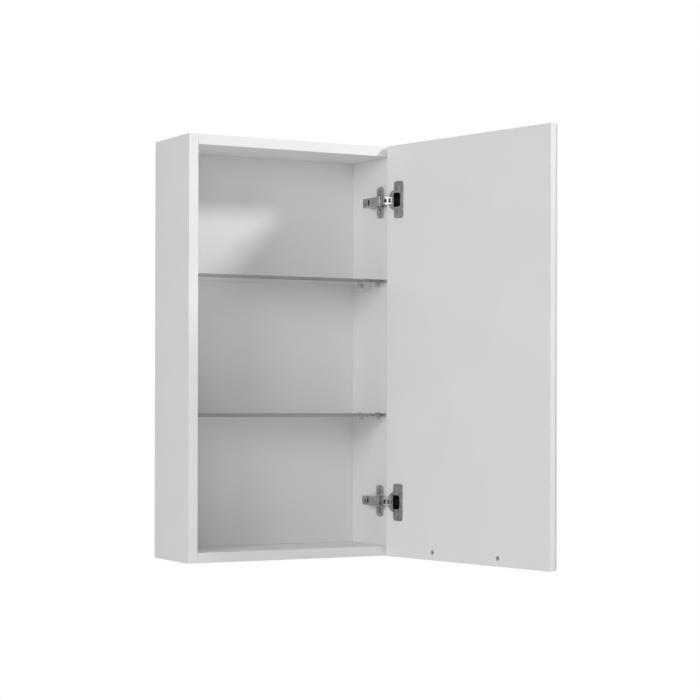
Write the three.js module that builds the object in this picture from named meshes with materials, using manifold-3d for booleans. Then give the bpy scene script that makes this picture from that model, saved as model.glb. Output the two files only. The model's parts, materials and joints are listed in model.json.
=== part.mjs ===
// A bathroom wall cabinet with a mirror door, hung on the right on two concealed cup hinges.
// Millimetres, +Z up. The front faces -Y and the wall is on the +Y side.
// The pieces are drawn in the cabinet's own coordinates: x from the left side, y from the front
// edges of the carcass and z from its underside, with the door closed. The last group moves the
// origin to the wall, and the hinge groups swing the door open to its resting angle.
import * as THREE from "three";
import { mergeVertices } from "three/addons/utils/BufferGeometryUtils.js";
import Module from "manifold-3d";

const wasm = await Module();
wasm.setup();

// Carcass
const cabinetWidth = 400;
const cabinetHeight = 715;
const carcassDepth = 142;
const panelThickness = 17;
const fitGap = 0.3; // between pieces that touch
const backThickness = 3;
const backSetIn = 7; // from the rear edges to the back panel's rear face
const grooveDepth = 7;
const dowelRadius = 4;
const dowelLength = 30;
const dowelInSide = 11;

// Hangers let into the rear edges of the sides
const hangerWidth = 13;
const hangerLength = 62;
const hangerThickness = 2;
const hangerFromTop = 24;
const hangerScrewFromEnd = 7;
const keyholeRadius = 4.5;
const keySlotRadius = 2.2;
const keySlotLength = 13;
const hangerPocketDepth = 9;

// Shelves and their clips
const shelfThickness = 5;
const shelfSideGap = 1.5;
const shelfFrontInset = 5;
const shelfBackGap = 2;
const lowerShelfHeight = 243.7; // undersides of the shelves above the cabinet's underside
const upperShelfHeight = 478;
const clipFrontLine = 37;
const clipRearLine = 101;
const clipWidth = 9;
const clipReach = 8.5;
const clipUnder = 6.5;
const clipLip = 2.2;
const clipPinRadius = 2.5;
const clipPinLength = 8;

// Door
const doorGap = 2; // between the closed door and the carcass
const doorOverlay = 17; // past the inner face of the side it hangs on, as its hinges allow
const boardThickness = 12;
const tapeGap = 1;
const tapeWidth = 40;
const tapeFromSide = 60;
const tapeFromEnd = 40;
const mirrorThickness = 3;
const restAngle = 101;
const closedAngle = 0;

// Handle, along the lower edge of the door
const handlePitch = 160;
const handleRise = 13.5;
const handleProjection = 28;
const handleRadius = 5;
const handleCornerRadius = 12;
const handleScrewRadius = 2;
const handleScrewGrip = 8;
const handleHeadRadius = 3.6;
const handleHeadHeight = 2.4;
const handleHeadSink = 1;

// Hinges, set out from the inner face of the side they hang on. The arm pivots are measured
// off that face and in from its front edge, the cup pivots beyond it and down from the door's
// back face.
const hingeFromEnd = 95;
const innerArmPivot = { off: 13, inward: 12 };
const innerCupPivot = { beyond: 8.5, down: 3 };
const outerArmPivot = { off: 14, inward: 2 };
const outerCupPivot = { beyond: 6.5, down: 5.5 };
const innerTurnShare = -0.32; // turn of each link for one degree of door
const outerTurnShare = -0.28;
const pivotPinRadius = 1;
const pinClearance = 0.3;
const eyeWall = 0.6;
const openPivotGap = 2; // from the outer link's end to its cup pin
const linkThickness = 1.8;
const innerLinkHalfHeight = 3.2;
const outerLinkHalfHeight = 6.6;
const strapInside = 3.8; // the outer link's two straps, above and below the hinge's middle
const strapOutside = 6.2;
const forkFromPin = 3.4; // where the outer link parts into its straps
// Points along each link between its pins: beyond the side's inner face, and behind the door.
const innerLinkBends = [
  [-7.5, 13.5],
  [-3.7, 9],
  [-2.8, 2],
  [-1.4, -2.4],
  [2.2, -4.9],
  [5.6, -3.4],
];
const outerLinkBends = [
  [-13.4, 0.8],
  [-12.4, -2.4],
  [-9.2, -4.6],
  [-4.6, -6.6],
  [-0.1, -7.4],
];
const linkSteps = 24;
const cupFromSide = 5.5; // the cup's centre, in from the side's inner face
const cupRadius = 17.5;
const cupDepth = 10.6;
const cupWall = 1;
const cupPocketHalfHeight = 12.3;
const cupPocketFarSide = 14.5; // beyond the cup's centre
const cupPocketNearSide = 3;
const cupSlotHalfHeight = 6.6; // the links' way out, towards the door's edge
const cupPinHalf = 8;
const flangeThickness = 1.2;
const flangeHeight = 64;
const flangeNear = 2.5; // towards the door's edge from the cup's centre
const flangeFar = 21;
const flangeCorner = 5;
const cupScrewPitch = 48;
const cupScrewOffset = 6;
const cupScrewLength = 8;
const plateLine = 30;
const plateThickness = 2;
const plateHeight = 55;
const plateWidth = 23;
const plateScrewPitch = 32;
const plateScrewLength = 13;
const railHalfHeight = 6;
const railFront = 24;
const railRear = 59;
const armHalfHeight = 8;
const armWall = 1.4;
const armCheek = 1.1;
const armOff = 19.2; // outer face of the arm, off the side
const armClear = 3.4; // free edges of the arm's cheeks, off the side
const armRear = 61;
const armWebFront = 2;
const armCheekFront = 21; // where the cheeks reach their full depth
const armTail = { along: 6, across: 4 };
const armNoseRadius = 2.2;
const clampScrewLine = 55;
const armSlotLine = 41;
const armSlotHalfHeight = 3.6;
const armSlotHalfWidth = 1.8;

const insideWidth = cabinetWidth - 2 * panelThickness;
const insideRight = cabinetWidth - panelThickness;
const doorRight = insideRight + doorOverlay;
const backFront = carcassDepth - backSetIn - backThickness;
const doorBack = -doorGap;
const boardFront = doorBack - boardThickness;
const mirrorBack = boardFront - tapeGap;
const mirrorFront = mirrorBack - mirrorThickness;

// ---- materials

const material = (color, roughness, metalness = 0) =>
  new THREE.MeshStandardMaterial({ color, roughness, metalness });
const whiteBoard = material(0xeceae6, 0.45);
const whiteBack = material(0xe4e3e0, 0.6);
const beech = material(0xc9a477, 0.7);
const nickel = material(0x9a9994, 0.3, 1);
const zinc = material(0xb4b4b0, 0.4, 1);
const chrome = material(0xd0d2d4, 0.12, 1);
const shelfGlass = material(0xa9bdb7, 0.05);
const mirrorGlass = material(0xdfe6e6, 0.03, 1);
const clearPlastic = material(0xdde2e2, 0.2);
const foamTape = material(0xf4f4f0, 0.9);

// ---- solids

function solid(geometry) {
  const plain = geometry.index ? geometry.toNonIndexed() : geometry.clone();
  plain.deleteAttribute("normal");
  plain.deleteAttribute("uv");
  const merged = mergeVertices(plain, 1e-4);
  return new wasm.Manifold(
    new wasm.Mesh({
      numProp: 3,
      vertProperties: merged.attributes.position.array,
      triVerts: new Uint32Array(merged.index.array),
    }),
  );
}

function geometryOf(made) {
  const mesh = made.getMesh();
  const geometry = new THREE.BufferGeometry();
  const position = new Float32Array(mesh.numVert * 3);
  for (let i = 0; i < mesh.numVert; i++) {
    const at = i * mesh.numProp;
    position.set(mesh.vertProperties.subarray(at, at + 3), i * 3);
  }
  geometry.setAttribute("position", new THREE.BufferAttribute(position, 3));
  geometry.setIndex(new THREE.BufferAttribute(mesh.triVerts, 1));
  return geometry;
}

function named(name, made, finish) {
  const mesh = new THREE.Mesh(geometryOf(made), finish);
  mesh.name = name;
  return mesh;
}

// A block between two corners.
function block(low, high) {
  const size = high.map((value, i) => value - low[i]);
  const geometry = new THREE.BoxGeometry(...size);
  geometry.translate(...low.map((value, i) => value + size[i] / 2));
  return solid(geometry);
}

// A rod or bore between two points that differ along one axis.
function rod(from, to, radius, sides = 16, endRadius = radius) {
  const start = new THREE.Vector3(...from);
  const along = new THREE.Vector3(...to).sub(start);
  const geometry = new THREE.CylinderGeometry(endRadius, radius, along.length(), sides);
  geometry.translate(0, along.length() / 2, 0);
  const up = new THREE.Vector3(0, 1, 0);
  const turn = new THREE.Quaternion().setFromUnitVectors(up, along.normalize());
  geometry.applyQuaternion(turn);
  geometry.translate(...from);
  return solid(geometry);
}

// A flat outline in x and y, extruded from one height to another.
function slab(shape, low, high, curveSegments = 8) {
  const geometry = new THREE.ExtrudeGeometry(shape, {
    depth: high - low,
    bevelEnabled: false,
    curveSegments,
  });
  geometry.translate(0, 0, low);
  return solid(geometry);
}

// An outline in x and z, extruded along y.
function plate(shape, front, rear, curveSegments = 4) {
  const geometry = new THREE.ExtrudeGeometry(shape, {
    depth: rear - front,
    bevelEnabled: false,
    curveSegments,
  });
  geometry.rotateX(Math.PI / 2);
  geometry.translate(0, rear, 0);
  return solid(geometry);
}

function roundedRectangle(x0, y0, x1, y1, corner) {
  const shape = new THREE.Shape();
  shape.moveTo(x0 + corner, y0);
  shape.lineTo(x1 - corner, y0);
  shape.absarc(x1 - corner, y0 + corner, corner, -Math.PI / 2, 0);
  shape.lineTo(x1, y1 - corner);
  shape.absarc(x1 - corner, y1 - corner, corner, 0, Math.PI / 2);
  shape.lineTo(x0 + corner, y1);
  shape.absarc(x0 + corner, y1 - corner, corner, Math.PI / 2, Math.PI);
  shape.lineTo(x0, y0 + corner);
  shape.absarc(x0 + corner, y0 + corner, corner, Math.PI, Math.PI * 1.5);
  return shape;
}

// A strip of even width along a smooth line, with square ends.
function strip(points, width, steps) {
  const line = new THREE.SplineCurve(points.map(([x, y]) => new THREE.Vector2(x, y)));
  const left = [];
  const right = [];
  for (let i = 0; i <= steps; i++) {
    const at = line.getPoint(i / steps);
    const along = line.getTangent(i / steps);
    const across = new THREE.Vector2(-along.y, along.x).multiplyScalar(width / 2);
    left.push(at.clone().add(across));
    right.push(at.clone().sub(across));
  }
  return new THREE.Shape([...left, ...right.reverse()].reverse());
}

const upright = (x, y, low, high, radius, sides) =>
  rod([x, y, low], [x, y, high], radius, sides);

// ---- carcass

function grooveCut(low, high) {
  return block(
    [low[0], backFront - fitGap, low[1]],
    [high[0], backFront + backThickness + fitGap, high[1]],
  );
}

function dowelPlaces() {
  const y = carcassDepth / 2;
  const reach = dowelLength - dowelInSide;
  return ["bottom", "top"].flatMap((level) =>
    ["left", "right"].map((side) => ({
      name: `dowel_${level}_${side}`,
      y,
      z: level === "bottom" ? panelThickness / 2 : cabinetHeight - panelThickness / 2,
      outer:
        side === "left"
          ? panelThickness - dowelInSide
          : insideRight + dowelInSide,
      inner: side === "left" ? panelThickness + reach : insideRight - reach,
    })),
  );
}

function dowelBore({ outer, inner, y, z }) {
  const end = Math.sign(outer - inner) * fitGap;
  return rod([outer + end, y, z], [inner - end, y, z], dowelRadius + fitGap, 12);
}

const shelfUndersides = { lower: lowerShelfHeight, upper: upperShelfHeight };
const clipLines = { front: clipFrontLine, rear: clipRearLine };

function clipPlaces() {
  const places = [];
  for (const [shelf, z] of Object.entries(shelfUndersides)) {
    for (const [row, y] of Object.entries(clipLines)) {
      places.push({ name: `clip_${shelf}_left_${row}`, y, z, side: -1, face: panelThickness });
      places.push({ name: `clip_${shelf}_right_${row}`, y, z, side: 1, face: insideRight });
    }
  }
  return places;
}

const clipPinHeight = (underside) => underside - clipUnder / 2;

function clipBore({ y, z, side, face }) {
  const height = clipPinHeight(z);
  const deep = face + side * (clipPinLength + fitGap);
  const radius = clipPinRadius + fitGap / 2;
  return rod([face - side, y, height], [deep, y, height], radius, 12);
}

const hangerLow = cabinetHeight - hangerFromTop - hangerLength;
const hangerHigh = cabinetHeight - hangerFromTop;
const hangerScrewHeights = [hangerLow + hangerScrewFromEnd, hangerHigh - hangerScrewFromEnd];
const hangerMiddles = { left: panelThickness / 2, right: cabinetWidth - panelThickness / 2 };
const hangerScrew = {
  radius: 1.5,
  length: 14,
  headRadius: 2.8,
  headHeight: 1.2,
};

function hangerPocket(middle) {
  const half = hangerWidth / 2 + fitGap;
  const low = hangerLow - fitGap;
  const high = hangerHigh + fitGap;
  const front = carcassDepth - hangerThickness - fitGap;
  const deepHalf = keyholeRadius + 0.5;
  let cut = block([middle - half, front, low], [middle + half, carcassDepth + 1, high]);
  cut = cut.add(
    block(
      [middle - deepHalf, carcassDepth - hangerPocketDepth, hangerLow + 16],
      [middle + deepHalf, carcassDepth, hangerHigh - 16],
    ),
  );
  for (const z of hangerScrewHeights) {
    const deep = carcassDepth - hangerScrew.length - fitGap;
    const radius = hangerScrew.radius + fitGap;
    cut = cut.add(rod([middle, deep, z], [middle, carcassDepth, z], radius, 12));
  }
  return cut;
}

function sidePanel(name, x0, side) {
  let made = block([x0, 0, 0], [x0 + panelThickness, carcassDepth, cabinetHeight]);
  const inner = side < 0 ? x0 + panelThickness : x0;
  const grooveEnd = inner + side * grooveDepth;
  made = made.subtract(
    grooveCut(
      [Math.min(inner - side, grooveEnd), panelThickness - grooveDepth],
      [Math.max(inner - side, grooveEnd), cabinetHeight - panelThickness + grooveDepth],
    ),
  );
  const isLeft = side < 0;
  for (const place of dowelPlaces()) {
    if (place.outer < cabinetWidth / 2 === isLeft) made = made.subtract(dowelBore(place));
  }
  for (const place of clipPlaces()) {
    if (place.side === side) made = made.subtract(clipBore(place));
  }
  made = made.subtract(hangerPocket(hangerMiddles[isLeft ? "left" : "right"]));
  if (!isLeft) {
    for (const z of hingeHeights()) {
      for (const screw of plateScrewPlaces(z)) made = made.subtract(plateScrewBore(screw));
    }
  }
  return named(name, made, whiteBoard);
}

// The top or bottom, between the sides, grooved for the back on its inner face.
function endPanel(name, z0, inward) {
  const left = panelThickness + fitGap;
  const right = insideRight - fitGap;
  let made = block([left, 0, z0], [right, carcassDepth, z0 + panelThickness]);
  const inner = inward > 0 ? z0 + panelThickness : z0;
  const grooveEnd = inner - inward * grooveDepth;
  made = made.subtract(
    grooveCut(
      [left - 1, Math.min(inner + inward, grooveEnd)],
      [right + 1, Math.max(inner + inward, grooveEnd)],
    ),
  );
  for (const place of dowelPlaces()) {
    if (place.z > z0 && place.z < z0 + panelThickness) made = made.subtract(dowelBore(place));
  }
  return named(name, made, whiteBoard);
}

function backPanel() {
  const into = grooveDepth - fitGap;
  const made = block(
    [panelThickness - into, backFront, panelThickness - into],
    [insideRight + into, backFront + backThickness, cabinetHeight - panelThickness + into],
  );
  return named("back_panel", made, whiteBack);
}

function dowel({ name, outer, inner, y, z }) {
  return named(name, rod([outer, y, z], [inner, y, z], dowelRadius, 12), beech);
}

function hanger(side, middle) {
  const front = carcassDepth - hangerThickness;
  let made = block(
    [middle - hangerWidth / 2, front, hangerLow],
    [middle + hangerWidth / 2, carcassDepth, hangerHigh],
  );
  const keyhole = (hangerLow + hangerHigh) / 2 - keySlotLength / 2;
  const slotTop = keyhole + keySlotLength;
  const through = (z, radius) =>
    rod([middle, front - 1, z], [middle, carcassDepth + 1, z], radius, 16);
  made = made.subtract(through(keyhole, keyholeRadius));
  made = made.subtract(through(slotTop, keySlotRadius));
  made = made.subtract(
    block(
      [middle - keySlotRadius, front - 1, keyhole],
      [middle + keySlotRadius, carcassDepth + 1, slotTop],
    ),
  );
  for (const z of hangerScrewHeights) {
    made = made.subtract(through(z, hangerScrew.radius + fitGap));
    const seat = carcassDepth - hangerScrew.headHeight - fitGap;
    const radius = hangerScrew.headRadius + fitGap;
    made = made.subtract(rod([middle, seat, z], [middle, carcassDepth + 1, z], radius, 16));
  }
  return named(`hanger_${side}`, made, zinc);
}

function hangerScrews(side, middle) {
  return hangerScrewHeights.map((z, i) => {
    const seat = carcassDepth - hangerScrew.headHeight;
    const tip = carcassDepth - hangerScrew.length;
    const head = rod([middle, seat, z], [middle, carcassDepth, z], hangerScrew.headRadius, 16);
    const made = head.add(rod([middle, tip, z], [middle, seat + 0.1, z], hangerScrew.radius, 8));
    return named(`hanger_screw_${side}_${i ? "upper" : "lower"}`, made, zinc);
  });
}

// ---- shelves

function shelf(name, underside) {
  const made = block(
    [panelThickness + shelfSideGap, shelfFrontInset, underside],
    [insideRight - shelfSideGap, backFront - shelfBackGap, underside + shelfThickness],
  );
  return named(name, made, shelfGlass);
}

// A clear clip: a pin in the side and two jaws that hold the edge of the glass.
function shelfClip({ name, y, z, side, face }) {
  const near = face - side * fitGap;
  const far = face - side * clipReach;
  const top = z + shelfThickness + fitGap + clipLip;
  const glassEdge = face - side * (shelfSideGap - fitGap);
  const ends = (a, b) => [Math.min(a, b), Math.max(a, b)];
  const [x0, x1] = ends(near, far);
  const [slotLow, slotHigh] = ends(glassEdge, far - side);
  const front = y - clipWidth / 2;
  const rear = y + clipWidth / 2;
  let made = block([x0, front, z - clipUnder], [x1, rear, top]);
  made = made.subtract(
    block(
      [slotLow, front - 1, z - fitGap],
      [slotHigh, rear + 1, z + shelfThickness + fitGap],
    ),
  );
  const lipFar = far + side * clipReach * 0.4;
  const [cutLow, cutHigh] = ends(lipFar, far - side);
  made = made.subtract(block([cutLow, front - 1, z], [cutHigh, rear + 1, top + 1]));
  const height = clipPinHeight(z);
  const tip = face + side * clipPinLength;
  made = made.add(rod([near - side, y, height], [tip, y, height], clipPinRadius, 12));
  return named(name, made, clearPlastic);
}

// ---- door

const handleHeights = [handleRise];
const handlePosts = [-1, 1].map((end) => cabinetWidth / 2 + (end * handlePitch) / 2);
const cupCentre = insideRight - cupFromSide;

function doorBoard() {
  let made = block([0, boardFront, 0], [doorRight, doorBack, cabinetHeight]);
  for (const z of hingeHeights()) {
    const deep = doorBack - cupDepth - fitGap;
    const bore = [cupCentre, deep, z];
    made = made.subtract(rod(bore, [cupCentre, 1, z], cupRadius + fitGap, 40));
    for (const screw of cupScrewPlaces(z)) made = made.subtract(cupScrewBore(screw));
  }
  for (const x of handlePosts) {
    for (const z of handleHeights) {
      const seat = doorBack - handleHeadSink - handleHeadHeight - fitGap;
      const bore = handleScrewRadius + fitGap;
      made = made.subtract(rod([x, boardFront - 1, z], [x, 1, z], bore, 12));
      made = made.subtract(rod([x, seat, z], [x, 1, z], handleHeadRadius + fitGap, 20));
    }
  }
  return named("door_board", made, whiteBoard);
}

function mirrorPane() {
  let made = block([0, mirrorFront, 0], [doorRight, mirrorBack, cabinetHeight]);
  for (const x of handlePosts) {
    const bore = handleScrewRadius + fitGap * 2;
    made = made.subtract(
      rod([x, mirrorFront - 1, handleRise], [x, mirrorBack + 1, handleRise], bore, 12),
    );
  }
  return named("mirror", made, mirrorGlass);
}

function tapeStrip(name, x0) {
  const made = block(
    [x0, mirrorBack + fitGap, tapeFromEnd],
    [x0 + tapeWidth, boardFront - fitGap, cabinetHeight - tapeFromEnd],
  );
  return named(name, made, foamTape);
}

// A bow handle: a round bar from one foot out, along and back to the other.
function handle() {
  const [x0, x1] = handlePosts;
  const foot = mirrorFront - fitGap;
  const out = mirrorFront - handleProjection + handleRadius;
  const r = handleCornerRadius;
  const point = (x, y) => new THREE.Vector3(x, y, handleRise);
  const path = new THREE.CurvePath();
  path.add(new THREE.LineCurve3(point(x0, foot), point(x0, out + r)));
  path.add(new THREE.QuadraticBezierCurve3(point(x0, out + r), point(x0, out), point(x0 + r, out)));
  path.add(new THREE.LineCurve3(point(x0 + r, out), point(x1 - r, out)));
  path.add(new THREE.QuadraticBezierCurve3(point(x1 - r, out), point(x1, out), point(x1, out + r)));
  path.add(new THREE.LineCurve3(point(x1, out + r), point(x1, foot)));
  const section = new THREE.Shape();
  section.absarc(0, 0, handleRadius, 0, Math.PI * 2);
  const geometry = new THREE.ExtrudeGeometry(section, {
    steps: 48,
    extrudePath: path,
    curveSegments: 7,
    bevelEnabled: false,
  });
  let made = solid(geometry);
  for (const x of handlePosts) {
    const bore = handleScrewRadius + fitGap;
    const deep = mirrorFront - handleScrewGrip - fitGap;
    made = made.subtract(rod([x, deep, handleRise], [x, foot + 1, handleRise], bore, 12));
  }
  return named("handle", made, chrome);
}

function handleScrew(name, x) {
  const headTop = doorBack - handleHeadSink;
  const seat = headTop - handleHeadHeight;
  const tip = mirrorFront - handleScrewGrip;
  const z = handleRise;
  const made = rod([x, seat, z], [x, headTop, z], handleHeadRadius, 20).add(
    rod([x, tip, z], [x, seat + 0.1, z], handleScrewRadius, 10),
  );
  return named(name, made, zinc);
}

// ---- hinges

function hingeHeights() {
  return [hingeFromEnd, cabinetHeight - hingeFromEnd];
}

const armPoint = ({ off, inward }) => [insideRight - off, inward];
const cupPoint = ({ beyond, down }) => [insideRight + beyond, doorBack - down];
const bendPoint = ([beyond, behind]) => [insideRight + beyond, doorBack + behind];
const outerArmAt = armPoint(outerArmPivot);
const innerArmAt = armPoint(innerArmPivot);
const outerCupAt = cupPoint(outerCupPivot);
const innerCupAt = cupPoint(innerCupPivot);

const plateScrew = { radius: 1.75, headRadius: 3.6, headHeight: 1.8 };
const cupScrew = { radius: 1.6, headRadius: 3.4, headHeight: 1 };
const clampScrew = { radius: 2, headRadius: 3.6, headHeight: 1.8, length: 9 };

function plateScrewPlaces(hingeHeight) {
  return [-1, 1].map((end) => ({ y: plateLine, z: hingeHeight + (end * plateScrewPitch) / 2 }));
}

function plateScrewBore({ y, z }) {
  const deep = insideRight + plateScrewLength + fitGap;
  return rod([insideRight - 1, y, z], [deep, y, z], plateScrew.radius + fitGap, 12);
}

function cupScrewPlaces(hingeHeight) {
  const x = cupCentre - cupScrewOffset;
  return [-1, 1].map((end) => ({ x, z: hingeHeight + (end * cupScrewPitch) / 2 }));
}

function cupScrewBore({ x, z }) {
  const deep = doorBack - cupScrewLength - fitGap;
  return rod([x, deep, z], [x, 1, z], cupScrew.radius + fitGap, 12);
}

// The cup: a round pot let into the door, under a flange with a screw at each end.
function hingeCup(name, z) {
  const bottom = doorBack - cupDepth;
  const seat = doorBack + fitGap;
  const top = seat + flangeThickness;
  let made = rod([cupCentre, bottom, z], [cupCentre, top, z], cupRadius, 40);
  const flange = roundedRectangle(
    cupCentre - flangeFar,
    -flangeHeight / 2,
    cupCentre + flangeNear,
    flangeHeight / 2,
    flangeCorner,
  );
  made = made.add(plate(flange, seat, top).translate([0, 0, z]));
  const floor = bottom + cupWall;
  const pot = rod([cupCentre, floor, z], [cupCentre, top + 1, z], cupRadius - cupWall, 40);
  const pocket = block(
    [cupCentre - cupPocketFarSide, bottom, z - cupPocketHalfHeight],
    [cupCentre + cupPocketNearSide, top + 2, z + cupPocketHalfHeight],
  ).intersect(pot);
  made = made.subtract(pocket);
  made = made.subtract(
    block(
      [cupCentre, floor, z - cupSlotHalfHeight],
      [doorRight, top + 1, z + cupSlotHalfHeight],
    ),
  );
  for (const [x, y] of [innerCupAt, outerCupAt]) {
    const half = cupPinHalf + fitGap;
    made = made.subtract(upright(x, y, z - half, z + half, pivotPinRadius + fitGap / 2, 12));
  }
  for (const { x, z: height } of cupScrewPlaces(z)) {
    const bore = cupScrew.radius + fitGap;
    made = made.subtract(rod([x, seat - 1, height], [x, top + 1, height], bore, 12));
  }
  return named(name, made, nickel);
}

function cupScrewPiece(name, { x, z }) {
  const under = doorBack + fitGap + flangeThickness + fitGap;
  const top = under + cupScrew.headHeight;
  const tip = doorBack - cupScrewLength;
  const made = rod([x, under, z], [x, top, z], cupScrew.headRadius, 16, cupScrew.headRadius * 0.7).add(
    rod([x, tip, z], [x, under + 0.1, z], cupScrew.radius, 8),
  );
  return named(name, made, nickel);
}

function pivotPin(name, [x, y], z, half) {
  return named(name, upright(x, y, z - half, z + half, pivotPinRadius, 12), zinc);
}

const pinBore = pivotPinRadius + pinClearance;
const eyeRadius = pinBore + eyeWall;

// The inner link: a plate bent round the front edge of the side, that the door hangs on.
function innerLink(name, z) {
  const low = z - innerLinkHalfHeight;
  const high = z + innerLinkHalfHeight;
  const points = [innerArmAt, ...innerLinkBends.map(bendPoint), innerCupAt];
  let made = slab(strip(points, linkThickness, linkSteps), low, high);
  for (const [x, y] of [innerArmAt, innerCupAt]) {
    made = made.add(upright(x, y, low, high, eyeRadius, 16));
  }
  for (const [x, y] of [innerArmAt, innerCupAt]) {
    made = made.subtract(upright(x, y, low - 1, high + 1, pinBore, 12));
  }
  return named(name, made, nickel);
}

// The outer link: the broad plate seen between arm and cup. It forks into two straps that pass
// the inner link, and they end short of their cup pin, the pivot that is left open.
function outerLink(name, z) {
  const [ax, ay] = outerArmAt;
  const [bx, by] = outerCupAt;
  const reach = (pivotPinRadius + openPivotGap) * Math.SQRT1_2;
  const tip = [bx - reach, by - reach];
  const points = [outerArmAt, ...outerLinkBends.map(bendPoint), tip];
  const low = z - outerLinkHalfHeight;
  const high = z + outerLinkHalfHeight;
  const bar = slab(strip(points, linkThickness, linkSteps), low, high);
  const forkStart = ax + forkFromPin;
  const past = (from, to) => block([forkStart, -cupDepth * 2, from], [bx, ay, to]);
  let made = bar.subtract(past(z - strapInside, z + strapInside));
  made = made.subtract(past(z + strapOutside, high + 1));
  made = made.subtract(past(low - 1, z - strapOutside));
  made = made.add(upright(ax, ay, low, high, eyeRadius, 16));
  made = made.subtract(upright(ax, ay, low - 1, high + 1, pinBore, 12));
  return named(name, made, nickel);
}

// The arm: a channel over the plate's rail, whose cheeks carry the two arm pins at its nose.
function hingeArm(name, z) {
  const outer = insideRight - armOff;
  const edge = insideRight - armClear;
  const [nx, ny] = outerArmAt;
  const [ix, iy] = innerArmAt;
  const cheek = new THREE.Shape();
  cheek.moveTo(outer, armRear);
  cheek.lineTo(outer, armWebFront);
  cheek.quadraticCurveTo(outer, ny - armNoseRadius, nx, ny - armNoseRadius);
  cheek.absarc(nx, ny, armNoseRadius, Math.PI * 1.5, Math.PI * 2);
  cheek.lineTo(ix + armNoseRadius + 1, iy);
  cheek.lineTo(edge, armCheekFront);
  cheek.lineTo(edge, armRear - armTail.along);
  cheek.lineTo(edge - armTail.across, armRear);
  const low = z - armHalfHeight;
  const high = z + armHalfHeight;
  let made = slab(cheek, low, high);
  const throat = block(
    [outer + armWall, -20, low + armCheek],
    [insideRight + 1, armRear + 1, high - armCheek],
  );
  const mouth = block(
    [outer - 1, -20, low + armCheek],
    [outer + armWall + 1, armWebFront, high - armCheek],
  );
  made = made.subtract(throat).subtract(mouth);
  for (const [x, y] of [outerArmAt, innerArmAt]) {
    const bore = pivotPinRadius + fitGap / 2;
    made = made.subtract(upright(x, y, low - 1, high + 1, bore, 12));
  }
  const screwBore = clampScrew.radius + fitGap;
  const from = [outer - 1, clampScrewLine, z];
  made = made.subtract(rod(from, [outer + armWall + 1, clampScrewLine, z], screwBore, 12));
  const slot = block(
    [outer - 1, armSlotLine - armSlotHalfWidth, z - armSlotHalfHeight],
    [outer + armWall + 1, armSlotLine + armSlotHalfWidth, z + armSlotHalfHeight],
  );
  return named(name, made.subtract(slot), nickel);
}

const railTop = insideRight - armOff + armWall + fitGap;

// The mounting plate: two wings screwed to the side and the rail that the arm clamps on.
function mountingPlate(name, z) {
  const seat = insideRight - fitGap;
  const face = seat - plateThickness;
  const wings = roundedRectangle(
    plateLine - plateWidth / 2,
    -plateHeight / 2,
    plateLine + plateWidth / 2,
    plateHeight / 2,
    7,
  );
  const geometry = new THREE.ExtrudeGeometry(wings, {
    depth: plateThickness,
    bevelEnabled: false,
    curveSegments: 5,
  });
  geometry.applyMatrix4(
    new THREE.Matrix4().set(0, 0, 1, face, 1, 0, 0, 0, 0, 1, 0, z, 0, 0, 0, 1),
  );
  let made = solid(geometry);
  made = made.add(
    block([railTop, railFront, z - railHalfHeight], [face + 1, railRear, z + railHalfHeight]),
  );
  for (const screw of plateScrewPlaces(z)) {
    const bore = plateScrew.radius + fitGap;
    const from = [face - 1, screw.y, screw.z];
    made = made.subtract(rod(from, [seat + 1, screw.y, screw.z], bore, 12));
  }
  const deep = railTop + clampScrew.length;
  const bore = clampScrew.radius + fitGap;
  const from = [railTop - 1, clampScrewLine, z];
  made = made.subtract(rod(from, [deep, clampScrewLine, z], bore, 12));
  return named(name, made, nickel);
}

function plateScrewPiece(name, { y, z }) {
  const under = insideRight - fitGap - plateThickness - fitGap;
  const top = under - plateScrew.headHeight;
  const tip = insideRight + plateScrewLength;
  const crown = plateScrew.headRadius * 0.7;
  const made = rod([under, y, z], [top, y, z], plateScrew.headRadius, 16, crown).add(
    rod([under - 0.1, y, z], [tip, y, z], plateScrew.radius, 8),
  );
  return named(name, made, nickel);
}

function clampScrewPiece(name, z) {
  const y = clampScrewLine;
  const under = insideRight - armOff - fitGap;
  const top = under - clampScrew.headHeight;
  const tip = railTop + clampScrew.length - fitGap;
  const crown = clampScrew.headRadius * 0.8;
  const made = rod([under, y, z], [top, y, z], clampScrew.headRadius, 16, crown).add(
    rod([under - 0.1, y, z], [tip, y, z], clampScrew.radius, 8),
  );
  return named(name, made, nickel);
}

// ---- assembly

const turn = (degrees) => THREE.MathUtils.degToRad(degrees);

// A group that turns about an upright axis and holds pieces drawn in the cabinet's coordinates.
function pivoted(name, [x, y], degrees, pieces) {
  const group = new THREE.Group();
  group.name = name;
  group.position.set(x, y, 0);
  group.rotation.z = turn(degrees);
  const inside = new THREE.Group();
  inside.position.set(-x, -y, 0);
  inside.add(...pieces);
  group.add(inside);
  return group;
}

const levels = ["lower", "upper"];
const fixed = [
  sidePanel("left_side_panel", 0, -1),
  sidePanel("right_side_panel", insideRight, 1),
  endPanel("bottom_panel", 0, 1),
  endPanel("top_panel", cabinetHeight - panelThickness, -1),
  backPanel(),
  ...dowelPlaces().map(dowel),
  ...Object.entries(hangerMiddles).map(([side, middle]) => hanger(side, middle)),
  ...Object.entries(hangerMiddles).flatMap(([side, middle]) => hangerScrews(side, middle)),
  shelf("lower_shelf", lowerShelfHeight),
  shelf("upper_shelf", upperShelfHeight),
  ...clipPlaces().map(shelfClip),
];
const onDoor = [
  doorBoard(),
  mirrorPane(),
  tapeStrip("mirror_tape_hinge_side", doorRight - tapeFromSide - tapeWidth),
  tapeStrip("mirror_tape_free_side", tapeFromSide),
  handle(),
  handleScrew("handle_screw_free_side", handlePosts[0]),
  handleScrew("handle_screw_hinge_side", handlePosts[1]),
];
const outerLinks = [];
const innerLinks = [];
const armPinHalf = armHalfHeight - fitGap;
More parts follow.
